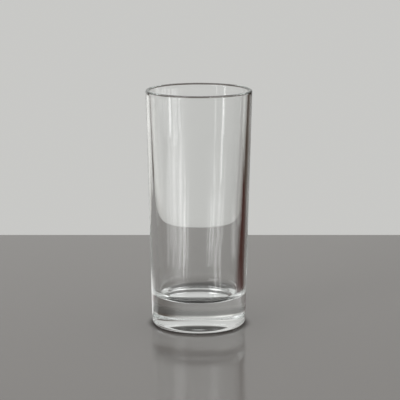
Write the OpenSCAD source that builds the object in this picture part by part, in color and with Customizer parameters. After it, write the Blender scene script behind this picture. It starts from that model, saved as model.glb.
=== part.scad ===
// Highball glass: a tall, clear, press-moulded tumbler with a heavy base.
// It stands on z = 0 with its axis along Z, in millimetres.
// The glass is one continuous wall. It is divided square to its axis where its zones meet:
// the fire-polished rim, the tapered side wall and the solid base.

/* [Outside] */
// Height from the table to the top of the rim
height = 146; // [110:1:180]
// Outside diameter at the top of the rim
rim_d = 65; // [60:0.5:80]
// Outside diameter at the table, before the heel is rounded
foot_d = 57.6; // [48:0.2:64]
// Radius of the rounded heel
heel_r = 3; // [1:0.1:4.5]

/* [Wall] */
// Thickness of the wall at the top of the rim
rim_wall = 2.3; // [1.4:0.1:3.2]
// Thickness of the wall at the level of the floor, before the inside corner is rounded
floor_wall = 5.2; // [3.4:0.1:8]
// Height of the rim, the zone that the flame rounds
rim_h = 4; // [3:0.5:12]

/* [Base] */
// Height of the middle of the inside floor above the table
floor_h = 16.5; // [8:0.5:26]
// Radius of the slight bowl of the inside floor
floor_r = 150; // [60:5:400]
// Radius of the inside corner between the floor and the wall
corner_r = 5.5; // [3:0.5:10]
// Width of the flat ring that the glass stands on
ring_w = 2.5; // [1:0.5:8]
// Radius of the soft edge between the standing ring and the recess
ring_edge_r = 4; // [1:0.5:6]
// Depth of the recess in the underside, at its middle
recess_h = 3.5; // [0.5:0.1:5]

/* [Hidden] */

glass_colour = [0.84, 0.92, 0.90, 0.45];
arc_steps = 16;
$fn = 128;

// The straight outside, which widens towards the rim
side_draft = atan((rim_d - foot_d) / 2 / height);
function outer_r(z) = foot_d / 2 + z * tan(side_draft);

// The straight inside, which widens more, so that the wall thins towards the rim
bore_floor_r = outer_r(floor_h) - floor_wall;
bore_draft = atan((rim_d / 2 - rim_wall - bore_floor_r) / (height - floor_h));
function inner_r(z) = bore_floor_r + (z - floor_h) * tan(bore_draft);

// The lip is a full round, tangent to the outside and the inside
lip_r = rim_wall / (1 / cos(side_draft) + 1 / cos(bore_draft) + tan(side_draft) - tan(bore_draft));
lip = [outer_r(height - lip_r) - lip_r / cos(side_draft), height - lip_r];
rim_z = height - rim_h;

// The heel is tangent to the outside and to the table
heel = [outer_r(heel_r) - heel_r / cos(side_draft), heel_r];

// The recess is a shallow cap of a sphere inside the standing ring, and its soft edge is tangent to both
ring_edge = [heel[0] - ring_w, ring_edge_r];
recess_r = (ring_edge[0] ^ 2 + recess_h ^ 2) / (2 * recess_h) - ring_edge_r;
recess = [0, recess_h - recess_r];
recess_to = atan2(ring_edge[1] - recess[1], ring_edge[0]);

// The floor is a shallow bowl, and the inside corner is tangent to it and to the inside
bowl = [0, floor_h + floor_r];
corner_x = bore_floor_r - corner_r / cos(bore_draft);
corner_a = 1 + tan(bore_draft) ^ 2;
corner_b = floor_r - corner_x * tan(bore_draft);
corner_c = corner_x ^ 2 + floor_r ^ 2 - (floor_r - corner_r) ^ 2;
corner_up = (corner_b - sqrt(corner_b ^ 2 - corner_a * corner_c)) / corner_a;
corner = [corner_x + corner_up * tan(bore_draft), floor_h + corner_up];
corner_from = atan2(corner[1] - bowl[1], corner[0] - bowl[0]);

// The base reaches up to the level where the inside corner has become the straight wall
base_z = corner[1];

// Points along an arc round a centre, from one angle to another
function arc(centre, radius, from, to) = [
    for (i = [0:arc_steps])
        let (angle = from + (to - from) * i / arc_steps)
        centre + radius * [cos(angle), sin(angle)]
];

// The wall cut across at one level, from the inside to the outside or back
function across_out(z) = [[inner_r(z), z], [outer_r(z), z]];
function across_in(z) = [[outer_r(z), z], [inner_r(z), z]];

// A ring or disc of glass, turned from half of its section
module turned(section) {
    rotate_extrude()
        polygon(section);
}

module rim() {
    color(glass_colour) turned(concat(
        across_out(rim_z),
        arc(lip, lip_r, -side_draft, 180 - bore_draft)
    ));
}

module side_wall() {
    color(glass_colour) turned(concat(
        across_out(base_z),
        across_in(rim_z)
    ));
}

module base() {
    color(glass_colour) turned(concat(
        arc(recess, recess_r, 90, recess_to),
        arc(ring_edge, ring_edge_r, recess_to - 180, -90),
        arc(heel, heel_r, -90, -side_draft),
        across_in(base_z),
        arc(corner, corner_r, -bore_draft, corner_from),
        arc(bowl, floor_r, corner_from, -90)
    ));
}

rim();
side_wall();
base();
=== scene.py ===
"""Highball glass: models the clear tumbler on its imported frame, gives it its finish and sets the stage."""

import math

import bpy
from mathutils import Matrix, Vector


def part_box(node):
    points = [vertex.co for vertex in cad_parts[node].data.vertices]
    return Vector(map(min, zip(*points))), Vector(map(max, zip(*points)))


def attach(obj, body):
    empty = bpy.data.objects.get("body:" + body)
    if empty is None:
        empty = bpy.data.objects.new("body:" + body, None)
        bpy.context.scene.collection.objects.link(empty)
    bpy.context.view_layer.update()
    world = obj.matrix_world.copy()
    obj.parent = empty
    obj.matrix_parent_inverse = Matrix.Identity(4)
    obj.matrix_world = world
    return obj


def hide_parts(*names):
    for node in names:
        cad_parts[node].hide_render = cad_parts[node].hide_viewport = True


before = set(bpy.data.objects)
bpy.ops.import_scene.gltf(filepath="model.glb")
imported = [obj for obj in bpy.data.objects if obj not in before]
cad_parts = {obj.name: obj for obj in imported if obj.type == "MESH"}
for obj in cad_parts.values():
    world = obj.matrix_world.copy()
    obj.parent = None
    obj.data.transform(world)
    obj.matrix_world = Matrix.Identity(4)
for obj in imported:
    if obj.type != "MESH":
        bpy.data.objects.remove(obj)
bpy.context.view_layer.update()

bl_info = {
    "name": "Highball glass",
    "version": (1, 0, 0),
    "blender": (4, 5, 0),
    "location": "3D View > Sidebar > Highball",
    "description": "Models a clear highball glass with a heavy base, and a stage to show it on",
    "category": "Add Mesh",
}

GLASS_NODES = ("rim", "side_wall", "base")
RIM_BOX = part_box("rim")
TURN = 2 * math.pi
QUARTER = math.pi / 2

# Steps in each curve of the section, and round the axis
AXIS_STEPS = 256
RECESS_STEPS = 20
RING_EDGE_STEPS = 6
HEEL_STEPS = 14
LIP_STEPS = 24
CORNER_STEPS = 18
BOWL_STEPS = 20

# Only the straight sides of the wall are this long, and they are cut into short steps
LONG_EDGE = 0.05
WALL_CUTS = 60
SAME_PLACE = 1e-6

# The ripple stays clear of the inside corner and of the rim, fades in, and is drawn out along the wall
RIPPLE_CLEAR_CORNERS = 2
RIPPLE_CLEAR_WALLS = 6
RIPPLE_FADE = 0.012
RIPPLE_STRETCH = 5
RIPPLE_NOISE_DEPTH = 1

# Patches left by handling, with the levels of noise where they start and are full
SMUDGE_SCALE = 45.0
SMUDGE_DETAIL = 5.0
SMUDGE_LEVELS = (0.52, 0.74)

# Fine scratches on the standing ring, with the heights between which they end
SCRATCH_SCALE = 1600.0
SCRATCH_DETAIL = 3.0
SCRATCH_LEVELS = (0.40, 0.65)
SCRATCH_HEIGHTS = (0.00005, 0.0004)

# Flow lines down the wall, with the heights between which they start
FLOW_SCALE = 260.0
FLOW_DETAIL = 2.0
FLOW_STRETCH = (1.0, 1.0, 0.07)
FLOW_HEIGHTS = (0.028, 0.045)
FLOW_DEPTH = 0.000008

# The floor reaches this far in front and to each side, a hair below the standing ring
FLOOR_FRONT = 1.2
FLOOR_HALF_WIDTH = 0.9
FLOOR_GAP = 0.00005

# Streaks on the floor: bearing and half width in degrees, near and far end in metres, share of the strength
LEFT_STREAKS = (
    (-72, 6, 0.16, 0.60, 0.45),
    (-58, 5, 0.16, 0.60, 0.50),
    (-42, 5, 0.16, 0.58, 0.65),
    (-33, 3, 0.14, 0.42, 1.30),
    (-26, 3, 0.14, 0.40, 0.50),
    (-44, 36, 0.12, 0.70, 0.22),
)
# The same on the right, which only the outside of the glass mirrors
RIGHT_STREAKS = (
    (36, 6, 0.10, 0.30, 0.75),
    (47, 5, 0.10, 0.30, 0.65),
    (84, 10, 0.18, 0.42, 0.50),
    (100, 30, 0.055, 0.20, 0.25),
)
STREAK_START = 0.03
STREAK_END = 0.15

# A glow on the floor behind the glass on the left: bearings, where it ends, share of the strength
BACK_GLOW = (0.15, 0.40, 0.90, 1.20)
BACK_GLOW_END = (0.085, 0.17)
BACK_GLOW_SHARE = 0.3

# Shade on the floor: middle across and back, inner and outer radius, in metres
SHADE_SPOTS = (
    (0.0, 0.0, 0.028, 0.052),
    (0.012, 0.014, 0.033, 0.047),
)

# The painted dark reflection, a dark flag painted on the floor: the place across from which its bearings are
# taken, and those bearings
PAINTED_DARK_FROM = 0.013
PAINTED_DARK_BEARINGS = (0.38, 0.62, 1.10, 1.30)

# The painted contact shadow, a dark line where the glass meets the floor: reach in metres, levels of cover,
# share and samples
CONTACT_REACH = 0.007
CONTACT_LEVELS = (0.12, 0.60)
CONTACT_SHARE = 0.85
CONTACT_SAMPLES = 32

# Areas of the room: bearings from straight behind towards the right, then sines of the height
RIGHT_CORNER = ((0.0, 0.66, 0.84, 0.95), (-0.30, -0.26, 0.17, 0.36))
LEFT_CORNER = ((-0.95, -0.84, -0.72, -0.64), (-0.30, -0.26, -0.14, -0.06))
LOW_WINDOW = ((0.80, 1.20, 2.30, 2.50), (-0.125, -0.095, -0.06, -0.04))
HIGH_WINDOW = ((1.05, 1.20, 2.40, 2.60), (0.50, 0.58, 0.75, 0.85))
BRIGHT_SIDE = (-0.66, -0.55, -0.38, -0.08)
BRIGHT_SIDE_TOP = (0.0, 0.3)
UNDER_TOP = (-0.27, -0.225)
UNDER_SIDES = (0.52, 0.64)

# The room turns into the backdrop and into the ceiling between these parts of the direction
BACKDROP_FROM = (0.2, 0.85)
OVERHEAD_FROM = (0.1, 0.7)

# Dapples in the light of the two windows, and the share of the strength that the windows have
DAPPLE_SCALE = 11.0
DAPPLE_DETAIL = 2.0
LOW_DAPPLES = (0.40, 0.60)
HIGH_DAPPLES = (0.42, 0.56)
WINDOW_SHARE = 0.8

# The soft light on the left: bearing in degrees from the camera's side, and sizes in metres
LIGHT_BEARING = -47
LIGHT_DISTANCE = 1.5
LIGHT_WIDTH = 0.75
LIGHT_HEIGHT = 0.9
LIGHT_FOOT = 0.2

# Low bright strips: name, bearing in degrees, width in metres, share of the strength
STRIPS = (
    ("left_strip", -64, 0.08, 1.5),
    ("near_left_strip", -42, 0.06, 0.55),
)
STRIP_DISTANCE = 0.6
STRIP_HEIGHT = 0.105
CARD_HALF = 0.5
SOFT_SIDES = 0.3
SOFT_ENDS = 0.12

# The photograph's point of view, with angles in degrees
CAMERA_PLACE = (0.0007, -1.0583, 0.2848)
CAMERA_DOWN = 11.08
CAMERA_FIELD = 13
# Light that is caught in the thick base needs many turns to get out
BOUNCES = 64

# Sockets of the node that mixes colours, which share their names
MIX_SHARE = 0
MIX_FIRST = 6
MIX_SECOND = 7
MIX_COLOUR = 2


class HighballSizes(bpy.types.PropertyGroup):
    """Sizes of the glass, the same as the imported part's"""

    height: bpy.props.FloatProperty(
        name="Height", description="From the table to the top of the rim",
        default=RIM_BOX[1].z, min=0.11, max=0.18, unit="LENGTH", subtype="DISTANCE")
    rim_diameter: bpy.props.FloatProperty(
        name="Rim diameter", description="Outside diameter at the top, before the lip is rounded",
        default=0.065, min=0.06, max=0.08, unit="LENGTH", subtype="DISTANCE")
    foot_diameter: bpy.props.FloatProperty(
        name="Foot diameter", description="Outside diameter at the table, before the heel is rounded",
        default=0.0576, min=0.048, max=0.064, unit="LENGTH", subtype="DISTANCE")
    heel_radius: bpy.props.FloatProperty(
        name="Heel radius", description="Radius of the rounded heel",
        default=0.003, min=0.001, max=0.0045, unit="LENGTH", subtype="DISTANCE")
    rim_wall: bpy.props.FloatProperty(
        name="Wall at the rim", description="Thickness of the wall at the top",
        default=0.0023, min=0.0014, max=0.0032, unit="LENGTH", subtype="DISTANCE")
    floor_wall: bpy.props.FloatProperty(
        name="Wall at the floor", description="Thickness of the wall at the level of the inside floor",
        default=0.0052, min=0.0034, max=0.008, unit="LENGTH", subtype="DISTANCE")
    floor_height: bpy.props.FloatProperty(
        name="Floor height", description="Middle of the inside floor above the table",
        default=0.0165, min=0.008, max=0.026, unit="LENGTH", subtype="DISTANCE")
    floor_radius: bpy.props.FloatProperty(
        name="Bowl radius", description="Radius of the slight bowl of the inside floor",
        default=0.15, min=0.06, max=0.4, unit="LENGTH", subtype="DISTANCE")
    corner_radius: bpy.props.FloatProperty(
        name="Corner radius", description="Radius of the inside corner between floor and wall",
        default=0.0055, min=0.003, max=0.01, unit="LENGTH", subtype="DISTANCE")
    ring_width: bpy.props.FloatProperty(
        name="Ring width", description="Width of the flat ring that the glass stands on",
        default=0.0025, min=0.001, max=0.008, unit="LENGTH", subtype="DISTANCE")
    ring_edge: bpy.props.FloatProperty(
        name="Ring edge", description="Radius of the soft edge between the standing ring and the recess",
        default=0.004, min=0.001, max=0.006, unit="LENGTH", subtype="DISTANCE")
    recess_height: bpy.props.FloatProperty(
        name="Recess height", description="Depth of the recess in the underside, at its middle",
        default=0.0035, min=0.0005, max=0.005, unit="LENGTH", subtype="DISTANCE")
    ripple_depth: bpy.props.FloatProperty(
        name="Ripple depth", description="Depth of the faint ripple that pressing leaves in the wall",
        default=0.00004, min=0.0, max=0.0002, unit="LENGTH", subtype="DISTANCE", precision=5)
    ripple_size: bpy.props.FloatProperty(
        name="Ripple size", description="Width of one ripple round the wall",
        default=0.012, min=0.004, max=0.04, unit="LENGTH", subtype="DISTANCE")


class HighballFinish(bpy.types.PropertyGroup):
    """Finish of the clear glass"""

    tint: bpy.props.FloatVectorProperty(
        name="Tint", description="Colour of light that has passed a surface of the glass",
        default=(0.99, 0.995, 0.993), size=3, min=0.0, max=1.0, subtype="COLOR")
    depth_tint: bpy.props.FloatVectorProperty(
        name="Depth tint", description="Colour that light takes on inside the glass",
        default=(0.80, 0.85, 0.83), size=3, min=0.0, max=1.0, subtype="COLOR")
    depth_density: bpy.props.FloatProperty(
        name="Depth density", description="How strongly the glass takes up light, per metre",
        default=3.0, min=0.0, max=40.0)
    ior: bpy.props.FloatProperty(
        name="Index", description="Index of refraction of the glass",
        default=1.51, min=1.3, max=1.8)
    polish: bpy.props.FloatProperty(
        name="Polish", description="Roughness of the fire-polished surface",
        default=0.004, min=0.0, max=0.1, subtype="FACTOR")
    smudge: bpy.props.FloatProperty(
        name="Smudge", description="Roughness that handling adds in patches",
        default=0.02, min=0.0, max=0.2, subtype="FACTOR")
    scuff: bpy.props.FloatProperty(
        name="Scuff", description="Roughness that wear adds on the standing ring",
        default=0.3, min=0.0, max=0.8, subtype="FACTOR")


class HighballStage(bpy.types.PropertyGroup):
    """Floor, room and lights"""

    floor_colour: bpy.props.FloatVectorProperty(
        name="Floor", description="Colour of the pale floor",
        default=(0.235, 0.221, 0.211), size=3, min=0.0, max=1.0, subtype="COLOR")
    floor_gloss: bpy.props.FloatProperty(
        name="Floor roughness", description="Roughness of the polished floor",
        default=0.11, min=0.0, max=1.0, subtype="FACTOR")
    floor_back: bpy.props.FloatProperty(
        name="Floor depth", description="From the axis of the glass to the back edge of the floor",
        default=0.257, min=0.1, max=1.0, unit="LENGTH", subtype="DISTANCE")
    backdrop_colour: bpy.props.FloatVectorProperty(
        name="Backdrop", description="Colour of the pale backdrop behind the glass",
        default=(0.58, 0.58, 0.565), size=3, min=0.0, max=1.0, subtype="COLOR")
    overhead_colour: bpy.props.FloatVectorProperty(
        name="Overhead", description="Colour of the pale ceiling",
        default=(0.66, 0.66, 0.65), size=3, min=0.0, max=1.0, subtype="COLOR")
    room_colour: bpy.props.FloatVectorProperty(
        name="Room", description="Colour of the dimmer room round the stage",
        default=(0.44, 0.435, 0.425), size=3, min=0.0, max=1.0, subtype="COLOR")
    bright_colour: bpy.props.FloatVectorProperty(
        name="Bright side",
        description="Colour of the brighter left side that draws the left edge of the glass",
        default=(0.95, 0.95, 0.92), size=3, min=0.0, max=1.0, subtype="COLOR")
    corner_colour: bpy.props.FloatVectorProperty(
        name="Dark corners", description="Colour of the dark corners that draw the edges of the glass",
        default=(0.06, 0.043, 0.032), size=3, min=0.0, max=1.0, subtype="COLOR")
    shade_colour: bpy.props.FloatVectorProperty(
        name="Shade", description="Colour of the floor under the glass, as it is seen through it",
        default=(0.06, 0.055, 0.052), size=3, min=0.0, max=1.0, subtype="COLOR")
    # Painted dark reflection: a dark area painted on the floor that only the glass shows
    painted_dark_colour: bpy.props.FloatVectorProperty(
        name="Dark flag", description="Colour of the dark area that draws the right edge of the glass",
        default=(0.050, 0.018, 0.014), size=3, min=0.0, max=1.0, subtype="COLOR")
    # Painted contact shadow: the dark line painted where the glass meets the floor
    painted_contact_shadow_colour: bpy.props.FloatVectorProperty(
        name="Contact", description="Colour of the dark line where the glass meets the floor",
        default=(0.026, 0.021, 0.019), size=3, min=0.0, max=1.0, subtype="COLOR")
    light_power: bpy.props.FloatProperty(
        name="Light", description="Power of the broad soft light on the left",
        default=4.5, min=0.0, max=100.0, unit="POWER")
    strip_strength: bpy.props.FloatProperty(
        name="Strips", description="Brightness of the strips, streaks and windows that the glass mirrors",
        default=3.5, min=0.0, max=20.0)


class Wire:
    """One output of a shader node; sums written with it add Math nodes to its tree."""

    def __init__(self, tree, socket=None):
        self.tree = tree
        self.socket = socket

    def node(self, kind, settings=None, sockets=None, output=0):
        """Adds a node: its settings first, then the values or links of its sockets."""
        made = self.tree.nodes.new(kind)
        for name, value in (settings or {}).items():
            setattr(made, name, value)
        for name, value in (sockets or {}).items():
            if isinstance(value, Wire):
                self.tree.links.new(value.socket, made.inputs[name])
            else:
                made.inputs[name].default_value = value
        return Wire(self.tree, made.outputs[output] if made.outputs else None)

    def math(self, operation, *values):
        return self.node("ShaderNodeMath", {"operation": operation}, dict(enumerate(values)))

    def __add__(self, other):
        return self.math("ADD", self, other)

    __radd__ = __add__

    def __sub__(self, other):
        return self.math("SUBTRACT", self, other)

    def __rsub__(self, other):
        return self.math("SUBTRACT", other, self)

    def __mul__(self, other):
        return self.math("MULTIPLY", self, other)

    __rmul__ = __mul__

    def parts(self):
        """The three parts of this vector."""
        first = self.node("ShaderNodeSeparateXYZ", None, {"Vector": self})
        return [Wire(self.tree, part) for part in first.socket.node.outputs]

    def smooth(self, low, high):
        """0 below low, 1 above high, with a soft step between them."""
        settings = {"interpolation_type": "SMOOTHSTEP"}
        return self.node("ShaderNodeMapRange", settings, {"Value": self, "From Min": low, "From Max": high})

    def band(self, start, full, fade, end):
        """1 between full and fade, 0 before start and after end, with soft steps between them."""
        return self.smooth(start, full) * (1 - self.smooth(fade, end))

    def colour(self, first, second):
        """A colour between two others, with this as the share of the second."""
        return self.node("ShaderNodeMix", {"data_type": "RGBA"}, {
            MIX_SHARE: self, MIX_FIRST: first, MIX_SECOND: second}, MIX_COLOUR)

    def shader(self, first, second):
        """A shader between two others, with this as the share of the second."""
        return self.node("ShaderNodeMixShader", None, dict(enumerate((self, first, second))))

    def ray(self, kind):
        """1 for one kind of ray, 0 for the others."""
        return self.node("ShaderNodeLightPath", output=kind)


def empty_tree(owner):
    """The owner's node tree, cleared, with a start for its expressions."""
    owner.use_nodes = True
    owner.node_tree.nodes.clear()
    return Wire(owner.node_tree)


def deselect():
    bpy.ops.object.select_all(action="DESELECT")


def facing_glass(bearing, distance, height):
    """Place and turn of what stands round the glass and faces it, at degrees from the camera's side."""
    turn = math.radians(bearing)
    place = (distance * math.sin(turn), -distance * math.cos(turn), height)
    return {"location": place, "rotation": (QUARTER, 0, turn)}


def clear_glass(finish):
    """Fire-polished clear glass, faintly green in its depth, with smudges and a scuffed ring."""
    material = bpy.data.materials.new("clear_glass")
    start = empty_tree(material)
    place = start.node("ShaderNodeTexCoord", output="Object")
    _, _, height = place.parts()

    # Patches left by handling, faint and broad
    patches = start.node("ShaderNodeTexNoise", None, {
        "Vector": place, "Scale": SMUDGE_SCALE, "Detail": SMUDGE_DETAIL})
    smudged = patches.smooth(*SMUDGE_LEVELS) * finish.smudge

    # Fine scratches that the table leaves on the standing ring
    scratches = start.node("ShaderNodeTexNoise", None, {
        "Vector": place, "Scale": SCRATCH_SCALE, "Detail": SCRATCH_DETAIL})
    near_table = 1 - height.smooth(*SCRATCH_HEIGHTS)
    scuffed = near_table * scratches.smooth(*SCRATCH_LEVELS) * finish.scuff
    roughness = smudged + scuffed + finish.polish

    # Flow lines of the pressed glass, long down the wall and fine round it
    stretched = start.node("ShaderNodeMapping", None, {"Vector": place, "Scale": FLOW_STRETCH})
    flow = start.node("ShaderNodeTexNoise", None, {
        "Vector": stretched, "Scale": FLOW_SCALE, "Detail": FLOW_DETAIL})
    on_wall = height.smooth(*FLOW_HEIGHTS)
    bump = start.node("ShaderNodeBump", None, {
        "Height": flow * on_wall, "Strength": 1.0, "Distance": FLOW_DEPTH})

    glass = start.node("ShaderNodeBsdfPrincipled", None, {
        "Base Color": (*finish.tint, 1.0), "Roughness": roughness, "Normal": bump,
        "IOR": finish.ior, "Transmission Weight": 1.0})
    depth = start.node("ShaderNodeVolumeAbsorption", None, {
        "Color": (*finish.depth_tint, 1.0), "Density": finish.depth_density})
    start.node("ShaderNodeOutputMaterial", None, {"Surface": glass, "Volume": depth})
    return material


def floor_streaks(distance, forward, rows):
    """Streaks of light on the floor, each along its own bearing from the glass."""
    total = 0
    for bearing, half, near, far, share in rows:
        aside = forward.math("ABSOLUTE", forward - math.radians(bearing))
        beam = 1 - aside.smooth(0, math.radians(half))
        run = distance.band(near, near + STREAK_START, far - STREAK_END, far)
        total = beam * run * share + total
    return total


def floor_shade(place):
    """Shade on the floor under the glass and close behind it."""
    shade = 0
    for across, back, inner, outer in SHADE_SPOTS:
        away = place.node("ShaderNodeVectorMath", {"operation": "DISTANCE"}, {
            0: place, 1: (across, back, 0)}, "Value")
        shade = place.math("MAXIMUM", 1 - away.smooth(inner, outer), shade)
    return shade


def pale_floor(stage):
    """A plain polished floor with a painted contact shadow at the glass; only in and through the glass it
    shows painted streaks of light, painted shade and a painted dark flag.
    """
    material = bpy.data.materials.new("pale_floor")
    start = empty_tree(material)
    material.cycles.emission_sampling = "NONE"
    place = start.node("ShaderNodeTexCoord", output="Object")
    across, back, _ = place.parts()
    distance = start.node("ShaderNodeVectorMath", {"operation": "LENGTH"}, {0: place}, "Value")
    through_glass = start.ray("Is Transmission Ray")
    in_glass = start.ray("Is Glossy Ray")
    on_glass = in_glass * (1 - through_glass)

    # Streaks of light in front of the glass, and a glow behind it on the left
    forward = start.math("ARCTAN2", across, 0 - back)
    left_behind = start.math("ARCTAN2", 0 - across, back)
    back_glow = left_behind.band(*BACK_GLOW) * (1 - distance.smooth(*BACK_GLOW_END)) * BACK_GLOW_SHARE
    left_light = floor_streaks(distance, forward, LEFT_STREAKS) * in_glass
    right_light = (floor_streaks(distance, forward, RIGHT_STREAKS) + back_glow) * on_glass
    light = (left_light + right_light) * stage.strip_strength

    # The floor under the glass and close behind it is seen through it in shade
    shade = floor_shade(place) * through_glass
    colour = shade.colour((*stage.floor_colour, 1.0), (*stage.shade_colour, 1.0))
    pale = start.node("ShaderNodeBsdfPrincipled", None, {
        "Base Color": colour, "Roughness": stage.floor_gloss,
        "Emission Color": light, "Emission Strength": 1.0})

    # A painted dark reflection, a dark flag painted on the floor to the right behind the glass and seen only
    # in and through it, draws its right edge down to the base
    bearing = start.math("ARCTAN2", across - PAINTED_DARK_FROM, back)
    painted_dark_mask = bearing.band(*PAINTED_DARK_BEARINGS) * start.math("MAXIMUM", in_glass, through_glass)
    dark = start.node("ShaderNodeEmission", None, {"Color": (*stage.painted_dark_colour, 1.0)})
    with_painted_dark = painted_dark_mask.shader(pale, dark)

    # Close under the heel little light gets in, so a painted contact shadow, found by ambient occlusion,
    # darkens the floor there for camera rays
    open_sky = start.node("ShaderNodeAmbientOcclusion", {"samples": CONTACT_SAMPLES}, {
        "Distance": CONTACT_REACH}, "AO")
    painted_shadow_mask = (1 - open_sky).smooth(*CONTACT_LEVELS) * CONTACT_SHARE * start.ray("Is Camera Ray")
    painted_shadow = start.node("ShaderNodeEmission", None, {"Color": (*stage.painted_contact_shadow_colour, 1.0)})
    start.node("ShaderNodeOutputMaterial", None, {"Surface": painted_shadow_mask.shader(with_painted_dark, painted_shadow)})
    return material


def studio(stage):
    """A pale backdrop, a brighter ceiling and a dimmer room, with areas that only the glass shows."""
    world = bpy.data.worlds.new("studio")
    start = empty_tree(world)
    towards = start.node("ShaderNodeTexCoord", output="Generated")
    across, behind, up = towards.parts()
    bearing = start.math("ARCTAN2", across, behind)
    unseen = 1 - start.ray("Is Camera Ray")
    in_glass = start.ray("Is Glossy Ray")
    through_glass = start.ray("Is Transmission Ray")

    def area(bearings, heights):
        return bearing.band(*bearings) * up.band(*heights)

    # Dark corners low behind the glass, and the dark below the floor's back edge
    corners = area(*RIGHT_CORNER) + area(*LEFT_CORNER)
    aside = start.math("ABSOLUTE", bearing)
    under = (1 - up.smooth(*UNDER_TOP)) * (1 - aside.smooth(*UNDER_SIDES))
    dark = start.math("MAXIMUM", corners, under) * unseen

    # The brighter left side, and two windows with dappled light on the right
    bright = bearing.band(*BRIGHT_SIDE) * (1 - up.smooth(*BRIGHT_SIDE_TOP)) * unseen
    dapples = start.node("ShaderNodeTexNoise", None, {
        "Vector": towards, "Scale": DAPPLE_SCALE, "Detail": DAPPLE_DETAIL})
    low_window = area(*LOW_WINDOW) * dapples.smooth(*LOW_DAPPLES) * in_glass * through_glass
    high_window = area(*HIGH_WINDOW) * dapples.smooth(*HIGH_DAPPLES) * in_glass
    windows = start.math("MAXIMUM", low_window, high_window)
    window_level = WINDOW_SHARE * stage.strip_strength

    level = behind.smooth(*BACKDROP_FROM).colour((*stage.room_colour, 1.0), (*stage.backdrop_colour, 1.0))
    raised = up.smooth(*OVERHEAD_FROM).colour(level, (*stage.overhead_colour, 1.0))
    opened = bright.colour(raised, (*stage.bright_colour, 1.0))
    lit = windows.colour(opened, (window_level, window_level, window_level, 1.0))
    colour = dark.colour(lit, (*stage.corner_colour, 1.0))
    light = start.node("ShaderNodeBackground", None, {"Color": colour, "Strength": 1.0})
    start.node("ShaderNodeOutputWorld", None, {"Surface": light})
    return world


def soft_glow(name, strength):
    """A bright face that fades towards its edges."""
    material = bpy.data.materials.new(name)
    start = empty_tree(material)
    across, up, _ = start.node("ShaderNodeTexCoord", output="Object").parts()
    from_sides = CARD_HALF - start.math("ABSOLUTE", across)
    from_ends = CARD_HALF - start.math("ABSOLUTE", up)
    soft = from_sides.smooth(0.0, SOFT_SIDES) * from_ends.smooth(0.0, SOFT_ENDS)
    glow = start.node("ShaderNodeEmission", None, {"Strength": soft * strength})
    start.node("ShaderNodeOutputMaterial", None, {"Surface": glow})
    return material


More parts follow.
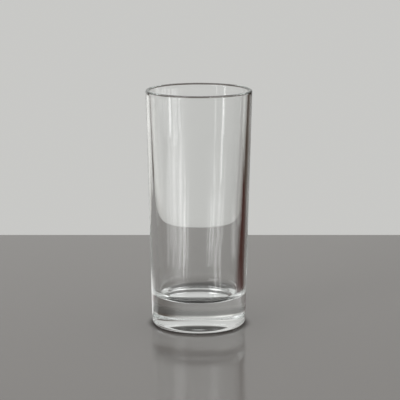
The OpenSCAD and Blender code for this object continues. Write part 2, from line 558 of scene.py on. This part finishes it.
class HIGHBALL_OT_glass(bpy.types.Operator):
    """Draw half of the glass's section, turn it round the axis and give it its finish"""

    bl_idname = "highball.glass"
    bl_label = "Highball glass"

    def execute(self, context):
        sizes = context.scene.highball_sizes
        self.first_point(sizes)
        self.draw(sizes)
        glass = self.turn()
        self.ripple(glass, sizes)
        self.finish(glass, context.scene.highball_finish)
        return {"FINISHED"}

    def first_point(self, sizes):
        """One point on the axis, at the top of the recess."""
        deselect()
        bpy.ops.mesh.primitive_plane_add(size=sizes.ring_width, location=(0, 0, 0))
        bpy.context.object.name = "glass"
        bpy.ops.object.mode_set(mode="EDIT")
        bpy.ops.mesh.select_all(action="SELECT")
        bpy.ops.mesh.merge(type="CENTER")
        self.point = Vector((0, 0))
        self.line(Vector((0, sizes.recess_height)))
        self.keep_last()

    def keep_last(self):
        """Keep only the last point."""
        bpy.ops.mesh.select_all(action="INVERT")
        bpy.ops.mesh.delete(type="VERT")
        bpy.ops.mesh.select_all(action="SELECT")

    def line(self, end):
        """A straight line of the section, from the last point to another."""
        step = end - self.point
        bpy.ops.mesh.extrude_region_move(TRANSFORM_OT_translate={"value": (step.x, 0, step.y)})
        self.point = end

    def arc(self, centre, angle, steps):
        """An arc of the section, from the last point round a centre."""
        bpy.ops.mesh.spin(
            steps=steps, angle=angle, center=(centre.x, 0, centre.y), axis=(0, 1, 0))
        arm = self.point - centre
        turned = Vector((
            arm.x * math.cos(angle) - arm.y * math.sin(angle),
            arm.x * math.sin(angle) + arm.y * math.cos(angle)))
        self.point = centre + turned

    def draw(self, sizes):
        """The section, from the middle of the recess round the outside to the middle of the floor."""
        rim = sizes.rim_diameter / 2
        foot = sizes.foot_diameter / 2
        side = math.atan((rim - foot) / sizes.height)
        bore_floor = foot + sizes.floor_height * math.tan(side) - sizes.floor_wall
        bore = math.atan((rim - sizes.rim_wall - bore_floor) / (sizes.height - sizes.floor_height))

        heel_out = foot + sizes.heel_radius * math.tan(side)
        heel = Vector((heel_out - sizes.heel_radius / math.cos(side), sizes.heel_radius))
        ring_edge = Vector((heel.x - sizes.ring_width, sizes.ring_edge))
        recess_span = (ring_edge.x ** 2 + sizes.recess_height ** 2) / (2 * sizes.recess_height)
        recess = Vector((0, sizes.recess_height + sizes.ring_edge - recess_span))
        recess_angle = math.atan2(ring_edge.y - recess.y, ring_edge.x)

        lip_share = 1 / math.cos(side) + 1 / math.cos(bore) + math.tan(side) - math.tan(bore)
        lip_radius = sizes.rim_wall / lip_share
        lip_height = sizes.height - lip_radius
        lip_out = foot + lip_height * math.tan(side)
        lip = Vector((lip_out - lip_radius / math.cos(side), lip_height))

        # The inside corner touches the bowl of the floor and the inside, so its height solves a square
        bowl = Vector((0, sizes.floor_height + sizes.floor_radius))
        slope = math.tan(bore)
        corner_x = bore_floor - sizes.corner_radius / math.cos(bore)
        square = 1 + slope ** 2
        half = sizes.floor_radius - corner_x * slope
        rest = corner_x ** 2 + sizes.floor_radius ** 2 - (sizes.floor_radius - sizes.corner_radius) ** 2
        rise = (half - math.sqrt(half ** 2 - square * rest)) / square
        corner = Vector((corner_x + rise * slope, sizes.floor_height + rise))
        floor_angle = math.atan2(corner.y - bowl.y, corner.x)

        self.arc(recess, recess_angle - QUARTER, RECESS_STEPS)
        self.arc(ring_edge, QUARTER - recess_angle, RING_EDGE_STEPS)
        self.line(Vector((heel.x, 0)))
        self.arc(heel, QUARTER - side, HEEL_STEPS)
        self.line(lip + lip_radius * Vector((math.cos(side), -math.sin(side))))
        self.arc(lip, math.pi - bore + side, LIP_STEPS)
        self.line(corner + sizes.corner_radius * Vector((math.cos(bore), -math.sin(bore))))
        self.arc(corner, floor_angle + bore, CORNER_STEPS)
        self.arc(bowl, -QUARTER - floor_angle, BOWL_STEPS)
        self.divide_walls()

    def divide_walls(self):
        """Cuts the two straight sides of the wall into short steps."""
        bpy.ops.mesh.select_all(action="DESELECT")
        bpy.ops.object.mode_set(mode="OBJECT")
        mesh = bpy.context.object.data
        for edge in mesh.edges:
            first, last = (mesh.vertices[i] for i in edge.vertices)
            if (first.co - last.co).length > LONG_EDGE:
                edge.select = first.select = last.select = True
        bpy.ops.object.mode_set(mode="EDIT")
        bpy.ops.mesh.subdivide(number_cuts=WALL_CUTS)

    def turn(self):
        """Turns the section round the axis and closes the seam and the poles."""
        bpy.ops.mesh.select_all(action="SELECT")
        bpy.ops.mesh.spin(steps=AXIS_STEPS, angle=TURN, center=(0, 0, 0), axis=(0, 0, 1))
        bpy.ops.mesh.select_all(action="SELECT")
        bpy.ops.mesh.remove_doubles(threshold=SAME_PLACE)
        bpy.ops.mesh.normals_make_consistent(inside=False)
        bpy.ops.object.mode_set(mode="OBJECT")
        bpy.ops.object.shade_smooth()
        return bpy.context.object

    def ripple(self, glass, sizes):
        """Leaves the faint ripple of pressed glass in both faces of the wall."""
        group = glass.vertex_groups.new(name="wall")
        low = sizes.floor_height + RIPPLE_CLEAR_CORNERS * sizes.corner_radius
        high = sizes.height - RIPPLE_CLEAR_WALLS * sizes.rim_wall
        for point in glass.data.vertices:
            share = min((point.co.z - low) / RIPPLE_FADE, (high - point.co.z) / RIPPLE_FADE, 1.0)
            if share > 0:
                soft_step = share * share * (3 - 2 * share)
                group.add([point.index], soft_step, "REPLACE")
        texture = bpy.data.textures.new("ripple", "CLOUDS")
        texture.noise_scale = sizes.ripple_size
        texture.noise_depth = RIPPLE_NOISE_DEPTH
        bpy.ops.object.empty_add(location=(0, 0, 0))
        stretch = bpy.context.object
        stretch.scale = (1, 1, RIPPLE_STRETCH)
        bpy.context.view_layer.update()
        deselect()
        bpy.context.view_layer.objects.active = glass
        glass.select_set(True)
        displace = glass.modifiers.new("Ripple", "DISPLACE")
        displace.texture = texture
        displace.texture_coords = "OBJECT"
        displace.texture_coords_object = stretch
        displace.strength = sizes.ripple_depth
        # With the middle at the noise's top, the ripple only goes into the glass
        displace.mid_level = 1.0
        displace.vertex_group = group.name
        bpy.ops.object.modifier_apply(modifier=displace.name)
        glass.vertex_groups.clear()
        bpy.data.objects.remove(stretch)
        bpy.data.textures.remove(texture)

    def finish(self, glass, finish):
        """Gives the glass its material and its place in the frame."""
        glass.data.materials.clear()
        glass.data.materials.append(clear_glass(finish))
        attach(glass, "root")
        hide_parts(*GLASS_NODES)


class HIGHBALL_OT_stage(bpy.types.Operator):
    """Lay the pale floor, light it softly and place the camera"""

    bl_idname = "highball.stage"
    bl_label = "Stage"

    def execute(self, context):
        stage = context.scene.highball_stage
        self.floor(stage)
        context.scene.world = studio(stage)
        self.light(stage)
        for name, bearing, width, share in STRIPS:
            self.strip(name, bearing, width, share * stage.strip_strength)
        self.camera(context.scene)
        return {"FINISHED"}

    def floor(self, stage):
        """A plain pale floor a hair below the ring, with a polished face."""
        deselect()
        middle = (stage.floor_back - FLOOR_FRONT) / 2
        bpy.ops.mesh.primitive_plane_add(size=1.0, location=(0, middle, -FLOOR_GAP))
        floor = bpy.context.object
        floor.name = "floor"
        floor.scale = (2 * FLOOR_HALF_WIDTH, stage.floor_back + FLOOR_FRONT, 1)
        bpy.ops.object.transform_apply(location=True, rotation=True, scale=True)
        floor.data.materials.append(pale_floor(stage))

    def light(self, stage):
        """One broad soft light on the left, out of the picture."""
        height = LIGHT_FOOT + LIGHT_HEIGHT / 2
        bpy.ops.object.light_add(type="AREA", **facing_glass(LIGHT_BEARING, LIGHT_DISTANCE, height))
        lamp = bpy.context.object
        lamp.name = "left_light"
        lamp.visible_camera = False
        lamp.data.shape = "RECTANGLE"
        lamp.data.size = LIGHT_WIDTH
        lamp.data.size_y = LIGHT_HEIGHT
        lamp.data.energy = stage.light_power

    def strip(self, name, bearing, width, strength):
        """A low bright strip that the glass mirrors; it throws no shadow and stays out of the picture."""
        deselect()
        bpy.ops.mesh.primitive_plane_add(
            size=1.0, **facing_glass(bearing, STRIP_DISTANCE, STRIP_HEIGHT / 2))
        card = bpy.context.object
        card.name = name
        card.scale = (width, STRIP_HEIGHT, 1)
        card.visible_camera = False
        card.visible_diffuse = False
        card.visible_shadow = False
        card.data.materials.append(soft_glow(name, strength))

    def camera(self, scene):
        """The photograph's point of view."""
        bpy.ops.object.camera_add(
            location=CAMERA_PLACE, rotation=(QUARTER - math.radians(CAMERA_DOWN), 0, 0))
        camera = bpy.context.object
        camera.name = "camera"
        camera.data.lens_unit = "FOV"
        camera.data.angle = math.radians(CAMERA_FIELD)
        scene.camera = camera
        scene.view_settings.view_transform = "Standard"
        scene.cycles.max_bounces = BOUNCES
        scene.cycles.glossy_bounces = BOUNCES
        scene.cycles.transmission_bounces = BOUNCES


class HIGHBALL_PT_panel(bpy.types.Panel):
    """Sizes, finish and stage of the highball glass"""

    bl_idname = "HIGHBALL_PT_panel"
    bl_label = "Highball glass"
    bl_space_type = "VIEW_3D"
    bl_region_type = "UI"
    bl_category = "Highball"

    def draw(self, context):
        scene = context.scene
        for group in (scene.highball_sizes, scene.highball_finish, scene.highball_stage):
            box = self.layout.box()
            for name in group.__annotations__:
                box.prop(group, name)
        self.layout.operator(HIGHBALL_OT_glass.bl_idname)
        self.layout.operator(HIGHBALL_OT_stage.bl_idname)


CLASSES = (
    HighballSizes, HighballFinish, HighballStage,
    HIGHBALL_OT_glass, HIGHBALL_OT_stage, HIGHBALL_PT_panel,
)


def register():
    for kind in CLASSES:
        bpy.utils.register_class(kind)
    bpy.types.Scene.highball_sizes = bpy.props.PointerProperty(type=HighballSizes)
    bpy.types.Scene.highball_finish = bpy.props.PointerProperty(type=HighballFinish)
    bpy.types.Scene.highball_stage = bpy.props.PointerProperty(type=HighballStage)


def unregister():
    del bpy.types.Scene.highball_stage
    del bpy.types.Scene.highball_finish
    del bpy.types.Scene.highball_sizes
    for kind in reversed(CLASSES):
        bpy.utils.unregister_class(kind)


def main():
    register()
    bpy.ops.highball.glass()
    bpy.ops.highball.stage()


if __name__ == "__main__":
    main()
